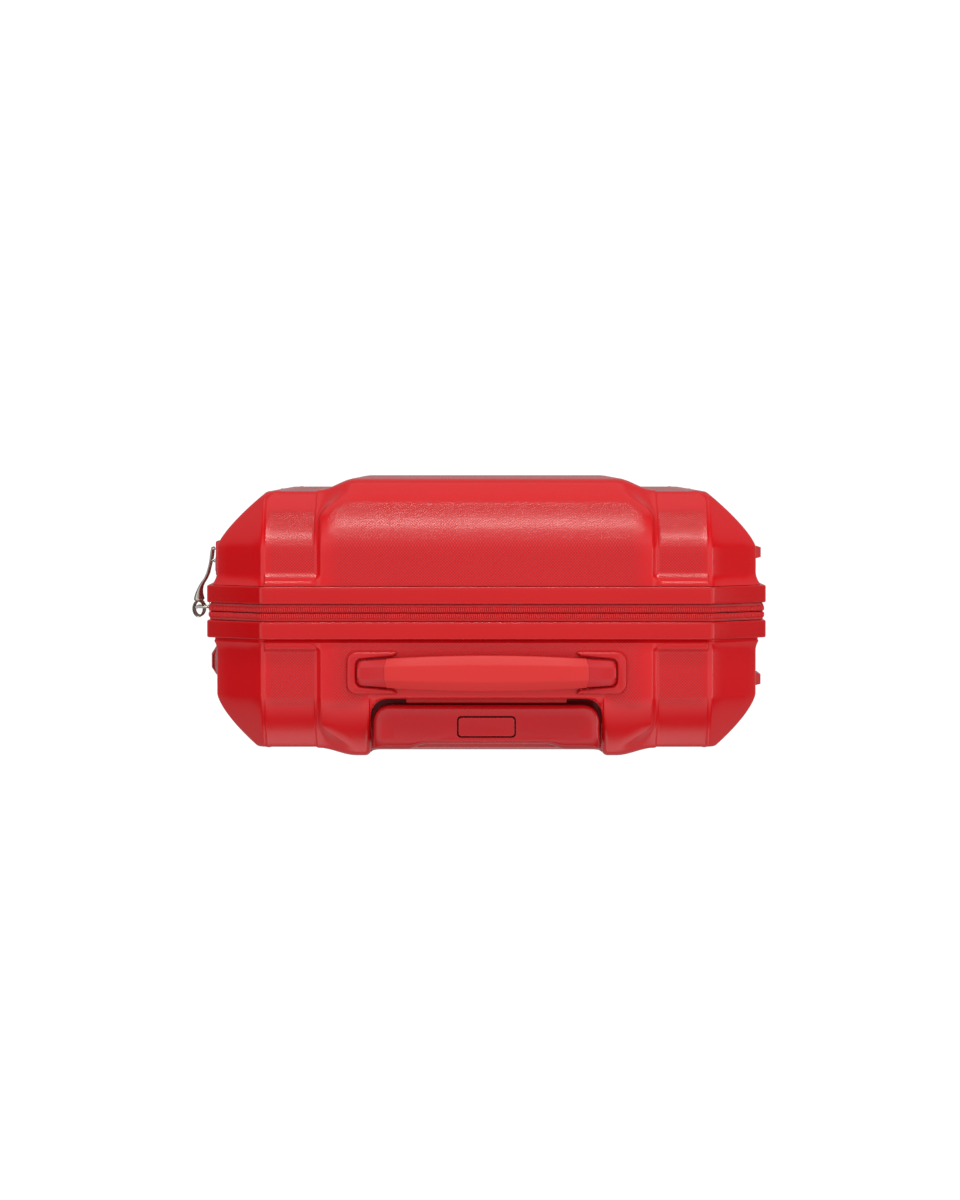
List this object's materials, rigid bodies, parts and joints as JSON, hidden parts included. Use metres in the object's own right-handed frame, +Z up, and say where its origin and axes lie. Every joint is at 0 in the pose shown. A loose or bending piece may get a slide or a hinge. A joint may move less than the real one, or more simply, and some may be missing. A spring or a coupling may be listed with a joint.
{
  "type": "hard shell suitcase",
  "caption": "Upright hard shell cabin suitcase with zipped clamshell halves, telescopic trolley handle, carry handles, side lock and swivel casters.",
  "frame": {"origin": "floor level under the middle of the bounding box, case standing on its four casters", "axes": "+Z up along the trolley tubes; front shell faces -Y, rear shell with the trolley handle faces +Y; lock and side handle on +X, side feet and opening hinge on -X"},
  "size_m": [0.4123, 0.1963, 0.5505],
  "materials": {
    "shell_red": "moulded red polypropylene, semi gloss, fine diamond texture on the flat panels",
    "trim_red": "moulded red plastic, smooth, semi gloss",
    "grip_red": "soft-touch red elastomer over a firm core, satin",
    "zip_red": "woven polyester zipper tape with nylon coil",
    "lining_fabric": "thin woven polyester lining, dull",
    "strap_webbing": "elastic webbing, ribbed",
    "tube_aluminium": "satin anodised, drawn along its length",
    "pull_nickel": "warm nickel plated zinc casting, polished",
    "axle_steel": "turned steel",
    "dial_black": "dark moulded plastic, fine ribs",
    "wheel_rubber": "polyurethane tread, satin, dark grey"
  },
  "bodies": {
    "rear_case": {"rear_shell": "shell_red", "rear_rim": "trim_red", "rear_zip_tape": "zip_red", "handle_cup": "trim_red", "outer_tube_left": "tube_aluminium", "outer_tube_right": "tube_aluminium", "tube_base": "trim_red", "top_bezel_left": "trim_red", "top_bezel_right": "trim_red", "side_bezel_upper": "trim_red", "side_bezel_lower": "trim_red", "foot_rear_upper": "trim_red", "foot_rear_lower": "trim_red", "rear_lining": "lining_fabric", "strap_left": "strap_webbing", "strap_right": "strap_webbing", "strap_buckle": "trim_red", "caster_guard_rear_left": "trim_red", "caster_guard_rear_right": "trim_red"},
    "front_case": {"front_shell": "shell_red", "front_rim": "trim_red", "front_zip_tape": "zip_red", "lock_body": "trim_red", "foot_front_upper": "trim_red", "foot_front_lower": "trim_red", "divider_panel": "lining_fabric", "caster_guard_front_left": "trim_red", "caster_guard_front_right": "trim_red"},
    "trolley_stage_1": {"stage_1_tube_left": "tube_aluminium", "stage_1_tube_right": "tube_aluminium"},
    "trolley_stage_2": {"stage_2_tube_left": "tube_aluminium", "stage_2_tube_right": "tube_aluminium", "trolley_grip": "grip_red"},
    "trolley_button": {"grip_button": "trim_red"},
    "top_handle": {"top_handle": "grip_red"},
    "side_handle": {"side_handle": "grip_red"},
    "lock_button": {"lock_button": "pull_nickel"},
    "zip_slider_upper": {"zip_slider_upper": "pull_nickel"},
    "zip_pull_upper": {"zip_pull_upper": "pull_nickel"},
    "zip_slider_lower": {"zip_slider_lower": "pull_nickel"},
    "zip_pull_lower": {"zip_pull_lower": "pull_nickel"},
    "lock_dial_1": {"lock_dial_1": "dial_black"},
    "lock_dial_2": {"lock_dial_2": "dial_black"},
    "lock_dial_3": {"lock_dial_3": "dial_black"},
    "caster_swivel_front_left": {"caster_fork_front_left": "trim_red", "caster_axle_front_left": "axle_steel"},
    "wheel_front_left_a": {"wheel_front_left_a": "wheel_rubber"},
    "wheel_front_left_b": {"wheel_front_left_b": "wheel_rubber"},
    "caster_swivel_front_right": {"caster_fork_front_right": "trim_red", "caster_axle_front_right": "axle_steel"},
    "wheel_front_right_a": {"wheel_front_right_a": "wheel_rubber"},
    "wheel_front_right_b": {"wheel_front_right_b": "wheel_rubber"},
    "caster_swivel_rear_left": {"caster_fork_rear_left": "trim_red", "caster_axle_rear_left": "axle_steel"},
    "wheel_rear_left_a": {"wheel_rear_left_a": "wheel_rubber"},
    "wheel_rear_left_b": {"wheel_rear_left_b": "wheel_rubber"},
    "caster_swivel_rear_right": {"caster_fork_rear_right": "trim_red", "caster_axle_rear_right": "axle_steel"},
    "wheel_rear_right_a": {"wheel_rear_right_a": "wheel_rubber"},
    "wheel_rear_right_b": {"wheel_rear_right_b": "wheel_rubber"}
  },
  "joints": [
    {"name": "front_case_hinge", "type": "hinge", "parent": "rear_case", "child": "front_case", "pos_m": [-0.208, -0.004, 0.296], "axis": [0, 0, -1], "range_deg": [0, 180]},
    {"name": "trolley_stage_1_slide", "type": "slide", "parent": "rear_case", "child": "trolley_stage_1", "axis": [0, 0, 1], "range_m": [0, 0.235]},
    {"name": "trolley_stage_2_slide", "type": "slide", "parent": "trolley_stage_1", "child": "trolley_stage_2", "axis": [0, 0, 1], "range_m": [0, 0.235]},
    {"name": "trolley_button_press", "type": "slide", "parent": "trolley_stage_2", "child": "trolley_button", "axis": [0, 0, -1], "range_m": [0, 0.003], "stiffness_N_per_m": 400, "springref_m": -0.001},
    {"name": "top_handle_lift", "type": "slide", "parent": "rear_case", "child": "top_handle", "axis": [0, 0, 1], "range_m": [0, 0.01], "stiffness_N_per_m": 150, "springref_m": -0.002},
    {"name": "side_handle_lift", "type": "slide", "parent": "rear_case", "child": "side_handle", "axis": [1, 0, 0], "range_m": [0, 0.01], "stiffness_N_per_m": 150, "springref_m": -0.002},
    {"name": "lock_button_press", "type": "slide", "parent": "front_case", "child": "lock_button", "axis": [-1, 0, 0], "range_m": [0, 0.002], "stiffness_N_per_m": 400, "springref_m": -0.0005},
    {"name": "zip_slider_upper_slide", "type": "slide", "parent": "front_case", "child": "zip_slider_upper", "axis": [0, 0, 1], "range_m": [0, 0.04]},
    {"name": "zip_pull_upper_pivot", "type": "hinge", "parent": "zip_slider_upper", "child": "zip_pull_upper", "pos_m": [0.2026, -0.0052, 0.449], "axis": [0, 0, 1], "range_deg": [0, 180]},
    {"name": "zip_slider_lower_slide", "type": "slide", "parent": "front_case", "child": "zip_slider_lower", "axis": [0, 0, -1], "range_m": [0, 0.3]},
    {"name": "zip_pull_lower_pivot", "type": "hinge", "parent": "zip_slider_lower", "child": "zip_pull_lower", "pos_m": [0.2026, -0.0052, 0.431], "axis": [0, 0, 1], "range_deg": [0, 180]},
    {"name": "lock_dial_1_turn", "type": "hinge", "parent": "front_case", "child": "lock_dial_1", "pos_m": [0.1842, -0.0364, 0.404], "axis": [0, 0, 1], "continuous": true},
    {"name": "lock_dial_2_turn", "type": "hinge", "parent": "front_case", "child": "lock_dial_2", "pos_m": [0.1842, -0.0364, 0.413], "axis": [0, 0, 1], "continuous": true},
    {"name": "lock_dial_3_turn", "type": "hinge", "parent": "front_case", "child": "lock_dial_3", "pos_m": [0.1842, -0.0364, 0.422], "axis": [0, 0, 1], "continuous": true},
    {"name": "caster_swivel_front_left_turn", "type": "hinge", "parent": "front_case", "child": "caster_swivel_front_left", "pos_m": [-0.149, -0.06, 0.0545], "axis": [0, 0, 1], "continuous": true},
    {"name": "wheel_front_left_a_roll", "type": "hinge", "parent": "caster_swivel_front_left", "child": "wheel_front_left_a", "pos_m": [-0.149, -0.045, 0.025], "axis": [1, 0, 0], "continuous": true},
    {"name": "wheel_front_left_b_roll", "type": "hinge", "parent": "caster_swivel_front_left", "child": "wheel_front_left_b", "pos_m": [-0.149, -0.045, 0.025], "axis": [1, 0, 0], "continuous": true},
    {"name": "caster_swivel_front_right_turn", "type": "hinge", "parent": "front_case", "child": "caster_swivel_front_right", "pos_m": [0.141, -0.06, 0.0545], "axis": [0, 0, 1], "continuous": true},
    {"name": "wheel_front_right_a_roll", "type": "hinge", "parent": "caster_swivel_front_right", "child": "wheel_front_right_a", "pos_m": [0.141, -0.045, 0.025], "axis": [1, 0, 0], "continuous": true},
    {"name": "wheel_front_right_b_roll", "type": "hinge", "parent": "caster_swivel_front_right", "child": "wheel_front_right_b", "pos_m": [0.141, -0.045, 0.025], "axis": [1, 0, 0], "continuous": true},
    {"name": "caster_swivel_rear_left_turn", "type": "hinge", "parent": "rear_case", "child": "caster_swivel_rear_left", "pos_m": [-0.149, 0.052, 0.0545], "axis": [0, 0, 1], "continuous": true},
    {"name": "wheel_rear_left_a_roll", "type": "hinge", "parent": "caster_swivel_rear_left", "child": "wheel_rear_left_a", "pos_m": [-0.149, 0.067, 0.025], "axis": [1, 0, 0], "continuous": true},
    {"name": "wheel_rear_left_b_roll", "type": "hinge", "parent": "caster_swivel_rear_left", "child": "wheel_rear_left_b", "pos_m": [-0.149, 0.067, 0.025], "axis": [1, 0, 0], "continuous": true},
    {"name": "caster_swivel_rear_right_turn", "type": "hinge", "parent": "rear_case", "child": "caster_swivel_rear_right", "pos_m": [0.141, 0.052, 0.0545], "axis": [0, 0, 1], "continuous": true},
    {"name": "wheel_rear_right_a_roll", "type": "hinge", "parent": "caster_swivel_rear_right", "child": "wheel_rear_right_a", "pos_m": [0.141, 0.067, 0.025], "axis": [1, 0, 0], "continuous": true},
    {"name": "wheel_rear_right_b_roll", "type": "hinge", "parent": "caster_swivel_rear_right", "child": "wheel_rear_right_b", "pos_m": [0.141, 0.067, 0.025], "axis": [1, 0, 0], "continuous": true}
  ]
}
